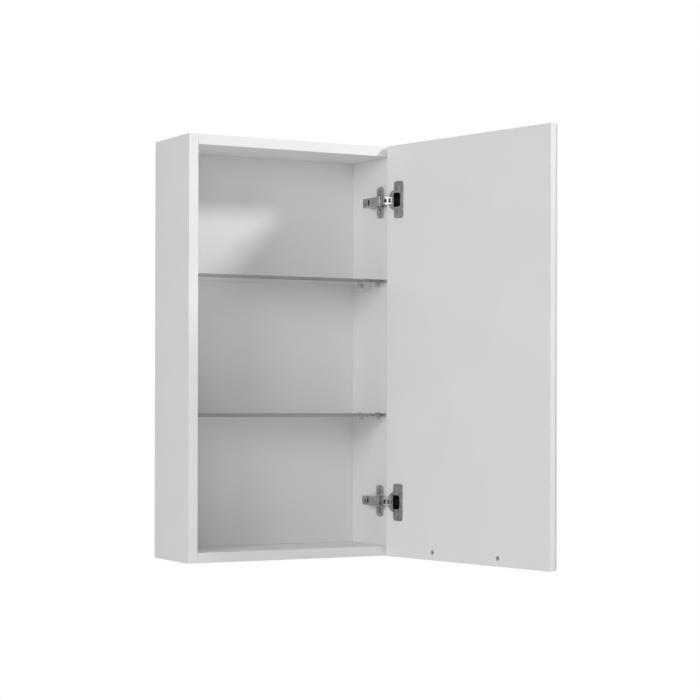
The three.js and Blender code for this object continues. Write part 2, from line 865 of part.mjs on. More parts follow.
hingeHeights().forEach((z, i) => {
  const level = levels[i];
  fixed.push(hingeArm(`hinge_arm_${level}`, z), mountingPlate(`mounting_plate_${level}`, z));
  fixed.push(clampScrewPiece(`clamp_screw_${level}`, z));
  fixed.push(pivotPin(`arm_pin_outer_${level}`, outerArmAt, z, armPinHalf));
  fixed.push(pivotPin(`arm_pin_inner_${level}`, innerArmAt, z, armPinHalf));
  plateScrewPlaces(z).forEach((place, end) => {
    fixed.push(plateScrewPiece(`plate_screw_${level}_${end ? "b" : "a"}`, place));
  });
  onDoor.push(hingeCup(`hinge_cup_${level}`, z));
  onDoor.push(pivotPin(`cup_pin_outer_${level}`, outerCupAt, z, cupPinHalf));
  onDoor.push(pivotPin(`cup_pin_inner_${level}`, innerCupAt, z, cupPinHalf));
  cupScrewPlaces(z).forEach((place, end) => {
    onDoor.push(cupScrewPiece(`cup_screw_${level}_${end ? "b" : "a"}`, place));
  });
  outerLinks.push(outerLink(`outer_link_${level}`, z));
  innerLinks.push(innerLink(`inner_link_${level}`, z));
});

// The door turns on the inner links' cup ends, and the inner links on the arms.
const opened = restAngle - closedAngle;
const door = pivoted("door_turn", innerCupAt, (1 - innerTurnShare) * opened, onDoor);
const inner = pivoted("inner_turn", innerArmAt, innerTurnShare * opened, [...innerLinks, door]);
const outer = pivoted("outer_turn", outerArmAt, outerTurnShare * opened, outerLinks);

const cabinet = new THREE.Group();
cabinet.add(...fixed, outer, inner);
// The origin: on the wall plane, in the middle of the bottom panel's rear edge.
cabinet.position.set(-cabinetWidth / 2, -carcassDepth, -panelThickness / 2);
const root = new THREE.Group();
root.add(cabinet);

export default root;
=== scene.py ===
import json
import math

import bpy
from mathutils import Matrix, Vector


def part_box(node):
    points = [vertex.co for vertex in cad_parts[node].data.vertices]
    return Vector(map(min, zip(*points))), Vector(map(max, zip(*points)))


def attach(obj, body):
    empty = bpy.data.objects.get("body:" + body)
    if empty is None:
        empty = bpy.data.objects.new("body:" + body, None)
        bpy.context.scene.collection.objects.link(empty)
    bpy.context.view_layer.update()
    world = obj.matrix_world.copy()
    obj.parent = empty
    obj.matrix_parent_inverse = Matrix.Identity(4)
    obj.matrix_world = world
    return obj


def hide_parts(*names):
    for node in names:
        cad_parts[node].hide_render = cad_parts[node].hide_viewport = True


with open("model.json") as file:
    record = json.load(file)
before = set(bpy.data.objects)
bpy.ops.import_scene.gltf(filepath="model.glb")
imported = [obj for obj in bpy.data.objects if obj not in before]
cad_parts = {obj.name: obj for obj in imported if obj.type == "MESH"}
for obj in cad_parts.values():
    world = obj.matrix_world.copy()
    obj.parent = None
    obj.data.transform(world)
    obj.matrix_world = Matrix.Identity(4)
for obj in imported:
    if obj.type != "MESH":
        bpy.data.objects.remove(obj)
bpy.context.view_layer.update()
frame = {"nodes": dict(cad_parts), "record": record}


# ---- sizes taken from the frame, in metres

mm = 0.001
carcassLow = Vector(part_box("left_side_panel")[0])
hingeHeights = {
    level: sum(corner[2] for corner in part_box("hinge_cup_" + level)) / 2
    for level in ("lower", "upper")
}
jointPlaces = {joint["name"]: joint for joint in frame["record"]["behaviour"]["joints"]}

# The door stands open, so its pieces are drawn shut and carried round its pivot.
doorSettings = {
    "turn": 101,
    "shutPivot": (191.5 * mm, -147 * mm, 0),
    "mirrorFront": -160 * mm,  # front face of the shut mirror
}
openPivot = Vector((*jointPlaces["door_swing"]["pos_m"][:2], 0))
doorPlace = (
    Matrix.Translation(openPivot)
    @ Matrix.Rotation(math.radians(doorSettings["turn"]), 4, "Z")
    @ Matrix.Translation(-Vector(doorSettings["shutPivot"]))
)
doorOut = (doorPlace.to_3x3() @ Vector((0, 1, 0))).normalized()  # away from the door's back face


def selectOnly(*objects):
    if bpy.context.object and bpy.context.object.mode != "OBJECT":
        bpy.ops.object.mode_set(mode="OBJECT")
    bpy.ops.object.select_all(action="DESELECT")
    for item in objects:
        item.select_set(True)
    if objects:
        bpy.context.view_layer.objects.active = objects[0]


selectOnly()


# ---- camera and light

cameraSettings = {
    "place": (-1.5504, -3.1812, 0.2691),
    "turn": 28.579,  # degrees to the right of straight on
    "roll": 0.142,
    "lens": 102.74,
    "sensor": 36,
    "shiftUp": 0.067,
    "nearest": 0.05,
    "farthest": 50,
}

lightSettings = {
    "ambient": 0.32,
    "gleam": 0.55,  # the surroundings as gloss and mirror see them
    "key": {"turn": 46, "height": 33, "distance": 3.0, "size": 0.5, "power": 46},
    "side": {"turn": -62, "height": 12, "distance": 3.0, "size": 1.2, "power": 25},
    "above": {"turn": 0, "height": 90, "distance": 2.6, "size": 1.6, "power": 13},
    "front": {"turn": -35, "height": 12, "distance": 3.0, "size": 1.2, "power": 7},
}

lightTarget = Vector((0.0, -0.15, 0.36))


def addCamera(settings):
    data = bpy.data.cameras.new("camera")
    camera = bpy.data.objects.new("camera", data)
    bpy.context.scene.collection.objects.link(camera)
    data.lens = settings["lens"]
    data.sensor_width = settings["sensor"]
    data.shift_y = settings["shiftUp"]
    data.clip_start = settings["nearest"]
    data.clip_end = settings["farthest"]
    turn = Matrix.Rotation(math.radians(-settings["turn"]), 4, "Z")
    level = Matrix.Rotation(math.radians(90), 4, "X")
    roll = Matrix.Rotation(math.radians(settings["roll"]), 4, "Z")
    camera.matrix_world = Matrix.Translation(settings["place"]) @ turn @ level @ roll
    bpy.context.scene.camera = camera


# turn is measured to the right of straight on, height is above level, both in degrees
def addSoftbox(name, settings):
    turn = math.radians(settings["turn"])
    height = math.radians(settings["height"])
    away = Vector((
        math.sin(turn) * math.cos(height),
        -math.cos(turn) * math.cos(height),
        math.sin(height),
    ))
    data = bpy.data.lights.new(name, "AREA")
    data.shape = "DISK"
    data.size = settings["size"]
    data.energy = settings["power"]
    lamp = bpy.data.objects.new(name, data)
    bpy.context.scene.collection.objects.link(lamp)
    lamp.location = lightTarget + away * settings["distance"]
    lamp.rotation_euler = away.to_track_quat("Z", "Y").to_euler()


addCamera(cameraSettings)
for lampName in ("key", "side", "above", "front"):
    addSoftbox(lampName, lightSettings[lampName])
bpy.context.scene.view_settings.view_transform = "Standard"
print("camera and lights placed")


# ---- shader tools

# One socket of a node tree, so that shader maths can be written as expressions.
class Wire:
    def __init__(self, tree, socket):
        self.tree = tree
        self.socket = socket

    def node(self, kind, settings=None, inputs=None, output=0):
        made = self.tree.nodes.new(kind)
        for name, value in (settings or {}).items():
            setattr(made, name, value)
        for name, value in (inputs or {}).items():
            join(self.tree, value, made.inputs[name])
        return Wire(self.tree, made.outputs[output])

    def maths(self, operation, *values):
        made = self.tree.nodes.new("ShaderNodeMath")
        made.operation = operation
        for socket, value in zip(made.inputs, values):
            join(self.tree, value, socket)
        return Wire(self.tree, made.outputs[0])

    def __add__(self, other):
        return self.maths("ADD", self, other)

    def __radd__(self, other):
        return self.maths("ADD", other, self)

    def __sub__(self, other):
        return self.maths("SUBTRACT", self, other)

    def __rsub__(self, other):
        return self.maths("SUBTRACT", other, self)

    def __mul__(self, other):
        return self.maths("MULTIPLY", self, other)

    def __rmul__(self, other):
        return self.maths("MULTIPLY", other, self)

    # 0 below a level and 1 above it, with a soft step between
    def above(self, level, soft):
        span = {"Value": self, "From Min": level - soft, "From Max": level + soft}
        return self.node("ShaderNodeMapRange", {"clamp": True}, span)

    # 1 within a half width of a line, 0 beyond it
    def near(self, line, half):
        away = self.maths("ABSOLUTE", self - line)
        return self.maths("LESS_THAN", away, half)

    def largest(self, other):
        return self.maths("MAXIMUM", self, other)

    def axis(self, index):
        return self.node("ShaderNodeSeparateXYZ", None, {"Vector": self}, index)


def join(tree, value, socket):
    if isinstance(value, Wire):
        tree.links.new(value.socket, socket)
    elif hasattr(value, "__len__") and len(value) == 3 and socket.type == "RGBA":
        socket.default_value = (*value, 1)
    else:
        socket.default_value = value


class Finish:
    def __init__(self, name, constants):
        self.material = bpy.data.materials.new(name)
        self.material.use_nodes = True
        self.tree = self.material.node_tree
        self.shader = self.tree.nodes["Principled BSDF"]
        for key, value in constants.items():
            join(self.tree, value, self.shader.inputs[key])
        start = self.tree.nodes.new("ShaderNodeTexCoord")
        self.place = Wire(self.tree, start.outputs["Object"])

    # Object coordinates carried back to where the door is shut, for what is drawn along it.
    def alongDoor(self):
        fromPivot = self.place.node(
            "ShaderNodeVectorMath",
            {"operation": "SUBTRACT"},
            {0: self.place, 1: openPivot},
        )
        turned = self.place.node(
            "ShaderNodeMapping",
            {"vector_type": "POINT"},
            {"Vector": fromPivot, "Rotation": (0, 0, math.radians(-doorSettings["turn"]))},
        )
        return self.place.node(
            "ShaderNodeVectorMath",
            {"operation": "ADD"},
            {0: turned, 1: doorSettings["shutPivot"]},
        )

    def noise(self, scale, detail=2, vector=None, stretch=(1, 1, 1)):
        source = vector or self.place
        if stretch != (1, 1, 1):
            source = source.node("ShaderNodeMapping", None, {"Vector": source, "Scale": stretch})
        inputs = {"Vector": source, "Scale": scale, "Detail": detail}
        return source.node("ShaderNodeTexNoise", None, inputs)

    def blend(self, factor, low, high):
        inputs = {"Factor": factor, 6: low, 7: high}
        return self.place.node("ShaderNodeMix", {"data_type": "RGBA"}, inputs, 2)

    def feed(self, **links):
        for key, value in links.items():
            join(self.tree, value, self.shader.inputs[key.replace("_", " ")])

    def bump(self, height, strength, distance):
        inputs = {"Height": height, "Strength": strength, "Distance": distance}
        self.feed(Normal=self.place.node("ShaderNodeBump", None, inputs))


# ---- finishes

melamineLook = {
    "colour": (0.875, 0.872, 0.866),
    "shade": (0.85, 0.847, 0.841),
    "seam": (0.60, 0.595, 0.58),
    "banding": 0.8 * mm,  # thickness of the edge banding
    "seamHalf": 0.07 * mm,
    "mottle": {"scale": 9, "soft": 0.18, "gloss": 0.05},
    "peel": {"scale": 1400, "gloss": 0.04},
    "ripple": {"scale": 1400 * 0.3, "height": 0.6},
    "gloss": 0.38,
    "seamDepth": 0.8,
    "relief": (0.12, 0.2 * mm),  # strength and distance
}


# seamsOf gives the glue lines of the edge banding: a coordinate and its value at each line
def makeMelamine(name, settings, seamsOf):
    finish = Finish(name, {"Specular IOR Level": 0.45})
    mottle = finish.noise(settings["mottle"]["scale"], 3)
    peel = finish.noise(settings["peel"]["scale"], 2)
    ripple = finish.noise(settings["ripple"]["scale"], 3)
    patches = mottle.above(0.5, settings["mottle"]["soft"])
    face = finish.blend(patches, settings["shade"], settings["colour"])
    seam = None
    for coordinate, line in seamsOf(finish, settings["banding"]):
        crossing = coordinate.near(line, settings["seamHalf"])
        seam = crossing if seam is None else seam.largest(crossing)
    finish.feed(
        Base_Color=finish.blend(seam, face, settings["seam"]),
        Roughness=(
            settings["gloss"]
            + mottle * settings["mottle"]["gloss"]
            + peel * settings["peel"]["gloss"]
        ),
    )
    height = peel + ripple * settings["ripple"]["height"] - seam * settings["seamDepth"]
    finish.bump(height, *settings["relief"])
    return finish.material


def carcassSeams(finish, banding):
    return [(finish.place.axis(1), carcassLow.y + banding)]


def doorSeams(finish, banding):
    low = Vector(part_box("left_side_panel")[0])
    high = Vector(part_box("right_side_panel")[1])
    across = finish.alongDoor().axis(0)
    up = finish.place.axis(2)
    return [
        (across, low.x + banding),
        (across, high.x - banding),
        (up, low.z + banding),
        (up, high.z - banding),
    ]


hardboardLook = {
    "white": (0.85, 0.847, 0.835),
    "brown": (0.30, 0.19, 0.11),
    "paleBrown": (0.42, 0.29, 0.18),
    "fibre": 700,
    "lacquer": {"depth": 0.2 * mm, "soft": 0.05 * mm, "gloss": 0.55, "relief": 0.35},
    "bare": {"gloss": 0.3, "relief": 0.65},  # added where the lacquer ends
    "relief": (0.2, 0.2 * mm),
}


# white lacquer towards the inside, bare brown fibre towards the wall
def makeHardboard(name, settings):
    finish = Finish(name, {"Specular IOR Level": 0.35})
    lacquer, bareLook = settings["lacquer"], settings["bare"]
    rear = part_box("back_panel")[1][1]
    bare = finish.place.axis(1).above(rear - lacquer["depth"], lacquer["soft"])
    fibre = finish.noise(settings["fibre"], 4)
    speckle = finish.noise(settings["fibre"] / 4, 3)
    brown = finish.blend(fibre, settings["brown"], settings["paleBrown"])
    finish.feed(
        Base_Color=finish.blend(bare, settings["white"], brown),
        Roughness=lacquer["gloss"] + bare * bareLook["gloss"] + speckle * 0.05,
    )
    finish.bump(fibre * (lacquer["relief"] + bare * bareLook["relief"]), *settings["relief"])
    return finish.material


# plated or polished metal: colour and shade in soft clouds, gloss and grain over them
metalLooks = {
    "polished chrome": {
        "colour": (0.82, 0.83, 0.84),
        "shade": (0.78, 0.79, 0.80),
        "gloss": 0.05,
        "grain": 500,
        "relief": (0.03, 0.1 * mm),
    },
    "zinc plate": {
        "colour": (0.62, 0.62, 0.61),
        "shade": (0.38, 0.38, 0.37),
        "gloss": 0.26,
        "grain": 1600,
        "relief": (0.1, 0.1 * mm),
    },
    "nickel plate": {
        "colour": (0.58, 0.575, 0.56),
        "shade": (0.34, 0.335, 0.32),
        "gloss": 0.2,
        "grain": 1500,
        "relief": (0.1, 0.1 * mm),
    },
}


def makeMetal(name):
    look = metalLooks[name]
    finish = Finish(name, {"Metallic": 1.0})
    cloud = finish.noise(look["grain"] * 0.08, 3)
    fine = finish.noise(look["grain"], 3, stretch=(1, 1, 0.2))
    finish.feed(
        Base_Color=finish.blend(cloud.above(0.5, 0.25), look["shade"], look["colour"]),
        Roughness=look["gloss"] + cloud * 0.08 + fine * 0.06,
    )
    finish.bump(fine, *look["relief"])
    return finish.material


glassLook = {
    "face": (0.955, 0.98, 0.972),
    "edge": (0.74, 0.79, 0.775),
    "edgeWidth": 1.2 * mm,
    "index": 1.5,
    "edgeRough": 0.12,
    "smear": {"scale": 14, "from": 0.62, "soft": 0.12, "rough": 0.03},
}


def makeShelfGlass(name, settings):
    constants = {"Transmission Weight": 1.0, "IOR": settings["index"]}
    finish = Finish(name, constants)
    low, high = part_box("upper_shelf")
    width = settings["edgeWidth"]
    across = finish.place.axis(0)
    along = finish.place.axis(1)
    nearEdge = along.maths("LESS_THAN", along, low[1] + width)
    farEdge = along.maths("GREATER_THAN", along, high[1] - width)
    fromMiddle = across.maths("ABSOLUTE", across)
    sideEdge = across.maths("GREATER_THAN", fromMiddle, high[0] - width)
    edge = nearEdge.largest(farEdge).largest(sideEdge)
    look = settings["smear"]
    smear = finish.noise(look["scale"], 3).above(look["from"], look["soft"])
    finish.feed(
        Base_Color=finish.blend(edge, settings["face"], settings["edge"]),
        Roughness=edge * settings["edgeRough"] + smear * look["rough"],
    )
    return finish.material


mirrorLook = {
    "silver": (0.88, 0.91, 0.905),
    "bright": (0.90, 0.925, 0.92),
    "wipe": 6,
    "gloss": 0.012,
    "smear": 0.02,
}


# the silvered front of the pane, seen through its clear glass
def makeMirror(name, settings):
    finish = Finish(name, {"IOR": 1.5, "Metallic": 1.0})
    wipe = finish.noise(settings["wipe"], 4, stretch=(1, 1, 0.3))
    finish.feed(
        Base_Color=finish.blend(wipe, settings["silver"], settings["bright"]),
        Roughness=settings["gloss"] + wipe.above(0.6, 0.1) * settings["smear"],
    )
    return finish.material


# the ground edge of the pane, with a line of green where the glass is deepest
glassEdgeLook = {
    "ground": (0.82, 0.86, 0.845),
    "clear": (0.90, 0.925, 0.915),
    "green": (0.72, 0.80, 0.77),
    "line": {"depth": 1.9 * mm, "half": 0.5 * mm},
    "grind": 900,
    "relief": (0.15, 0.1 * mm),
}


def makeGlassEdge(name, settings):
    finish = Finish(name, {"IOR": 1.5, "Specular IOR Level": 0.6})
    line = settings["line"]
    grind = finish.noise(settings["grind"], 3, stretch=(1, 1, 0.15))
    depth = finish.alongDoor().axis(1)
    deepest = depth.near(doorSettings["mirrorFront"] + line["depth"], line["half"])
    clear = finish.blend(grind, settings["ground"], settings["clear"])
    finish.feed(
        Base_Color=finish.blend(deepest, clear, settings["green"]),
        Roughness=0.16 + grind * 0.14,
    )
    finish.bump(grind, *settings["relief"])
    return finish.material


mirrorBackLook = {
    "colour": (0.62, 0.63, 0.625),
    "pale": (0.72, 0.725, 0.72),
    "run": 30,
    "speck": 1100,
    "relief": (0.2, 0.2 * mm),
}


# grey lacquer over the silver on the back of the pane
def makeMirrorBack(name, settings):
    finish = Finish(name, {"Specular IOR Level": 0.4})
    run = finish.noise(settings["run"], 4, stretch=(1, 1, 0.3))
    speck = finish.noise(settings["speck"], 2)
    finish.feed(
        Base_Color=finish.blend(run, settings["colour"], settings["pale"]),
        Roughness=0.45 + speck * 0.15,
    )
    finish.bump(speck, *settings["relief"])
    return finish.material


# Finishes with one grain in colour and relief. Each varied socket has a start and a spread.
grainLooks = {
    "clear plastic": {
        "colours": ((0.95, 0.96, 0.96), (0.90, 0.92, 0.92)),
        "scale": 160,
        "detail": 2,
        "varied": {"Roughness": (0.08, 0.1), "Alpha": (0.38, 0.15)},
        "fixed": {"IOR": 1.4},
        "relief": (0.1, 0.3 * mm),
    },
    # painted shade: near-black colour on the insides of hinge cups and hinge arms, standing in
    # for the shadow there
    "painted shade in hinge hollows": {
        "colours": ((0.006, 0.006, 0.006), (0.02, 0.02, 0.019)),
        "scale": 420,
        "detail": 4,
        "varied": {"Roughness": (0.55, 0.25), "Metallic": (0.2, 0.2)},
        "fixed": {"Specular IOR Level": 0.25},
        "relief": (0.2, 0.2 * mm),
    },
    "beech": {
        "colours": ((0.50, 0.33, 0.18), (0.68, 0.50, 0.31)),
        "scale": 600,
        "detail": 4,
        "stretch": (0.06, 1, 1),
        "varied": {"Roughness": (0.6, 0.15)},
        "fixed": {"Specular IOR Level": 0.3},
        "relief": (0.3, 0.3 * mm),
    },
    "foam tape": {
        "colours": ((0.66, 0.66, 0.64), (0.8, 0.8, 0.78)),
        "scale": 1800,
        "detail": 2,
        "varied": {"Roughness": (0.85, 0.1)},
        "fixed": {"Specular IOR Level": 0.2},
        "relief": (0.4, 0.4 * mm),
    },
}


def makeGrained(name):
    look = grainLooks[name]
    finish = Finish(name, look["fixed"])
    grain = finish.noise(look["scale"], look["detail"], stretch=look.get("stretch", (1, 1, 1)))
    for socket, (start, spread) in look["varied"].items():
        finish.feed(**{socket: start + grain * spread})
    finish.feed(Base_Color=finish.blend(grain, *look["colours"]))
    finish.bump(grain, *look["relief"])
    return finish.material


finishes = {
    "white_board": makeMelamine("white melamine", melamineLook, carcassSeams),
    "white_back": makeHardboard("white hardboard", hardboardLook),
    "beech": makeGrained("beech"),
    "shelf_glass": makeShelfGlass("shelf glass", glassLook),
    "clear_plastic": makeGrained("clear plastic"),
    "mirror_glass": makeMirror("mirror glass", mirrorLook),
    "foam_tape": makeGrained("foam tape"),
    "chrome": makeMetal("polished chrome"),
    "zinc": makeMetal("zinc plate"),
    "nickel": makeMetal("nickel plate"),
}
doorMelamine = makeMelamine("door melamine", melamineLook, doorSeams)
glassEdge = makeGlassEdge("ground glass edge", glassEdgeLook)
mirrorBack = makeMirrorBack("mirror backing", mirrorBackLook)
# a near-black finish that paints shade into the hollows of the hinges
paintedHollowShade = makeGrained("painted shade in hinge hollows")
print("finishes made")


# ---- pieces refined from the frame

slotOf = {row["node"]: row["material_slot"] for row in frame["record"]["subparts"]}
bodyOf = {
    node: body
    for body, nodes in frame["record"]["behaviour"]["bodies"].items()
    for node in nodes
}

smoothAngle = math.radians(35)
roundSmoothAngle = math.radians(40)
refineSettings = {
    "merge": 0.01 * mm,
    "flat": math.radians(0.5),  # faces closer than this are one face
    "sharp": math.radians(40),  # edges sharper than this are eased
    "weight": 80,
}
# how far edges are eased, by finish
edgeWidths = {
    "white_board": 0.3 * mm,
    "white_back": 0.2 * mm,
    "shelf_glass": 0.5 * mm,
    "clear_plastic": 1.1 * mm,
    "mirror_glass": 0.35 * mm,
    "nickel": 0.25 * mm,
    "zinc": 0.15 * mm,
}


# keeps broad flat faces flat beside their eased edges
def flatten(piece):
    weighting = piece.modifiers.new("weighting", "WEIGHTED_NORMAL")
    weighting.keep_sharp = True
    weighting.weight = refineSettings["weight"]
    bpy.ops.object.modifier_apply(modifier="weighting")


# a copy of a node with its facets merged and its edges eased, kept inside the node's box
def refine(node, width):
    source = frame["nodes"][node]
    piece = source.copy()
    piece.data = source.data.copy()
    piece.name = node.replace("_", "-")
    bpy.context.scene.collection.objects.link(piece)
    piece.parent = None
    selectOnly(piece)
    bpy.ops.object.mode_set(mode="EDIT")
    bpy.ops.mesh.select_all(action="SELECT")
    bpy.ops.mesh.remove_doubles(threshold=refineSettings["merge"])
    bpy.ops.mesh.dissolve_limited(angle_limit=refineSettings["flat"])
    bpy.ops.object.mode_set(mode="OBJECT")
    easing = piece.modifiers.new("easing", "BEVEL")
    easing.width = width
    easing.segments = 2
    easing.limit_method = "ANGLE"
    easing.angle_limit = refineSettings["sharp"]
    bpy.ops.object.modifier_apply(modifier="easing")
    low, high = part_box(node)
    for corner in piece.data.vertices:
        corner.co = [min(max(value, low[i]), high[i]) for i, value in enumerate(corner.co)]
    bpy.ops.object.shade_smooth_by_angle(angle=smoothAngle)
    flatten(piece)
    return piece


# gives a piece its finish and its body, and hides the node that it stands for
def settle(piece, node, material):
    piece.data.materials.clear()
    piece.data.materials.append(material)
    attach(piece, bodyOf[node])
    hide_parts(node)


# gives a second finish to the faces that a test picks by centre and normal
def paintFaces(piece, material, picks):
    piece.data.materials.append(material)
    index = len(piece.data.materials) - 1
    for face in piece.data.polygons:
        if picks(face.center, face.normal):
            face.material_index = index


def cutWith(piece, cutter):
    selectOnly(piece)
    cut = piece.modifiers.new("cut", "BOOLEAN")
    cut.operation = "DIFFERENCE"
    cut.solver = "EXACT"
    cut.object = cutter
    bpy.ops.object.modifier_apply(modifier="cut")
    bpy.data.objects.remove(cutter, do_unlink=True)


# the hollow of a hinge cup on the shut door
cupSettings = {
    "centre": 177.5 * mm,
    "floor": -154.6 * mm,  # underside of the cup
    "inside": 16.7 * mm,
    "lowest": 0.3 * mm,
    "rim": 11.6 * mm,
}
# the hollow of a hinge arm and the rail it sits over
armSettings = {"face": 165 * mm, "wings": 180.6 * mm, "nose": -138 * mm, "half": 6.95 * mm}
plateSlot = {"width": 4.2 * mm, "length": 11.5 * mm, "depth": 8 * mm, "behind": 3 * mm}
armSlot = {"width": 5.4 * mm, "length": 9.2 * mm, "depth": 6 * mm, "line": -101 * mm}


# cuts an upright oval hole through a piece, across the cabinet
def cutOval(piece, centre, settings):
    selectOnly()
    bpy.ops.mesh.primitive_cylinder_add(
        vertices=24,
        radius=settings["width"] / 2,
        depth=settings["depth"],
        location=centre,
        rotation=(0, math.radians(90), 0),
    )
    cutter = bpy.context.object
    bpy.ops.object.transform_apply(location=True, rotation=True)
    stretch = (settings["length"] - settings["width"]) / 2
    for corner in cutter.data.vertices:
        corner.co.z += stretch if corner.co.z > centre[2] else -stretch
    cutWith(piece, cutter)


# slots in the wings of a mounting plate, behind the screw heads
def slotWings(piece, level):
    for end in ("a", "b"):
        low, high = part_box(f"plate_screw_{level}_{end}")
        centre = (low + high) / 2
        cutOval(piece, (low.x + plateSlot["behind"], centre.y, centre.z), plateSlot)


# tests for the faces inside a hinge arm and inside a hinge cup, which get painted shade
def insideArm(height):
    def picks(centre, normal):
        deep = armSettings["face"] < centre.x < armSettings["wings"]
        behind = centre.y > armSettings["nose"]
        return deep and behind and abs(centre.z - height) < armSettings["half"]

    return picks


def insideCup(height):
    shut = doorPlace.inverted()
    middle = Vector((cupSettings["centre"], cupSettings["floor"], height))

    def picks(centre, normal):
        away = shut @ centre - middle
        radius = math.hypot(away.x, away.z)
        sunk = cupSettings["lowest"] < away.y < cupSettings["rim"]
        return radius < cupSettings["inside"] and sunk

    return picks


# tests for the mirror's back and for its edge
def towardsBoard(centre, normal):
    return normal.dot(doorOut) > 0.95


def roundEdge(centre, normal):
    return abs(normal.dot(doorOut)) < 0.95


screwNodes = [node for node in frame["nodes"] if "screw" in node]
modelledNodes = set(screwNodes) | {"handle"}

for node in frame["nodes"]:
    if node in modelledNodes:
        continue
    slotName = slotOf[node]
    width = edgeWidths.get(slotName)
    if width is None or "_pin_" in node:
        materials = frame["nodes"][node].data.materials
        materials.clear()
        materials.append(finishes[slotName])
        continue
    piece = refine(node, width)
    level = node.split("_")[-1]
    if node.startswith("mounting_plate"):
        slotWings(piece, level)
    if node.startswith("hinge_arm"):
        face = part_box(node)[0].x
        cutOval(piece, (face, armSlot["line"], hingeHeights[level]), armSlot)
    if node.startswith(("mounting_plate", "hinge_arm")):
        selectOnly(piece)
        bpy.ops.object.shade_smooth_by_angle(angle=smoothAngle)
    settle(piece, node, doorMelamine if node == "door_board" else finishes[slotName])
    if node == "mirror":
        paintFaces(piece, glassEdge, roundEdge)
        paintFaces(piece, mirrorBack, towardsBoard)
    # painted shade: faces inside hinge arms, mounting plates and cups get the near-black finish
    if node.startswith(("hinge_arm", "mounting_plate")):
        paintFaces(piece, paintedHollowShade, insideArm(hingeHeights[level]))
    if node.startswith("hinge_cup"):
        paintFaces(piece, paintedHollowShade, insideCup(hingeHeights[level]))
print("pieces refined")


# ---- screws

# sizes in millimetres
screwSettings = {
    "cup_screw": {"head": 3.4, "crown": 2.4, "thick": 1.0, "shank": 1.6, "length": 9.8},
    "plate_screw": {"head": 3.6, "crown": 2.6, "thick": 1.8, "shank": 1.75, "length": 15.6},
    "clamp_screw": {"head": 3.6, "crown": 2.9, "thick": 1.8, "shank": 2.0, "length": 10.7},
    "handle_screw": {"head": 3.6, "crown": 3.0, "thick": 2.4, "shank": 2.0, "length": 20.6},
    "hanger_screw": {"head": 2.8, "crown": 2.3, "thick": 1.2, "shank": 1.5, "length": 12.8},
}
screwLooks = {
    "sides": 32,
    "crownShare": 0.75,
    "crownSegments": 4,
    "crownRound": 0.62,
    "recessWidth": 0.85,
    "recessShare": 0.62,
    "recessDepth": 0.7,
    "pitch": 1.6,
    "threadRoot": 0.8,  # of the radius over the thread
    "threadEnd": 1.2,  # from the tip
    "tipLength": 1.15,
    "tip": 0.25,
    "firstTurn": 18,  # degrees that the recess is turned
    "turnStep": 37,
}


def extrudeBy(x, y, z):
    bpy.ops.mesh.extrude_region_move(TRANSFORM_OT_translate={"value": (x, y, z)})


def chooseFaces(piece, picks):
    bpy.ops.object.mode_set(mode="EDIT")
    bpy.ops.mesh.select_mode(type="FACE")
    bpy.ops.mesh.select_all(action="DESELECT")
    bpy.ops.object.mode_set(mode="OBJECT")
    for face in piece.data.polygons:
        face.select = picks(face)
    bpy.ops.object.mode_set(mode="EDIT")


# A screw with its head's top at the origin, pointing down: crowned head, cross recess, thread.
def modelScrew(name, settings, looks):
    head, thick = settings["head"] * mm, settings["thick"] * mm
    shank, length = settings["shank"] * mm, settings["length"] * mm
    selectOnly()
    bpy.ops.mesh.primitive_cylinder_add(
        vertices=looks["sides"], radius=head, depth=thick, location=(0, 0, -thick / 2)
    )
    screw = bpy.context.object
    screw.name = name
    bpy.ops.object.transform_apply(location=True)
    chooseFaces(screw, lambda face: face.normal.z > 0.9)
    bpy.ops.mesh.bevel(
        offset=min(thick * looks["crownShare"], (settings["head"] - settings["crown"]) * mm),
        segments=looks["crownSegments"],
        profile=looks["crownRound"],
        affect="EDGES",
    )
    chooseFaces(screw, lambda face: face.normal.z < -0.9)
    bpy.ops.mesh.inset(thickness=head - shank, depth=0)
    turns = int(length / mm / looks["pitch"])
    step = (length - looks["threadEnd"] * mm) / (2 * turns)
    for ring in range(2 * turns):
        extrudeBy(0, 0, -step)
        grow = looks["threadRoot"] if ring % 2 == 0 else 1 / looks["threadRoot"]
        bpy.ops.transform.resize(value=(grow, grow, 1), center_override=(0, 0, 0))
    extrudeBy(0, 0, -looks["tipLength"] * mm)
    bpy.ops.transform.resize(value=(looks["tip"], looks["tip"], 1), center_override=(0, 0, 0))
    bpy.ops.object.mode_set(mode="OBJECT")
    for turn in (0, 90):
        selectOnly()
        bpy.ops.mesh.primitive_cube_add(size=1, location=(0, 0, 0))
        cutter = bpy.context.object
        cutter.scale = (
            2 * head * looks["recessShare"],
            looks["recessWidth"] * mm,
            2 * thick * looks["recessDepth"],
        )
        cutter.rotation_euler = (0, 0, math.radians(turn))
        bpy.ops.object.transform_apply(rotation=True, scale=True)
        cutWith(screw, cutter)
    selectOnly(screw)
    bpy.ops.object.shade_smooth_by_angle(angle=roundSmoothAngle)
    return screw


# where a screw's head ends, from its node's own points
def screwPlace(node, out, spin):
    points = [vertex.co for vertex in frame["nodes"][node].data.vertices]
    up = Vector((0, 0, 1))
    side = up.cross(out)

    def middle(axis):
        along = [point.dot(axis) for point in points]
        return (min(along) + max(along)) / 2

    top = max(point.dot(out) for point in points)
    place = side * middle(side) + up * middle(up) + out * top
    turned = Matrix((side, up, out)).transposed().to_4x4()
    return Matrix.Translation(place) @ turned @ Matrix.Rotation(math.radians(spin), 4, "Z")


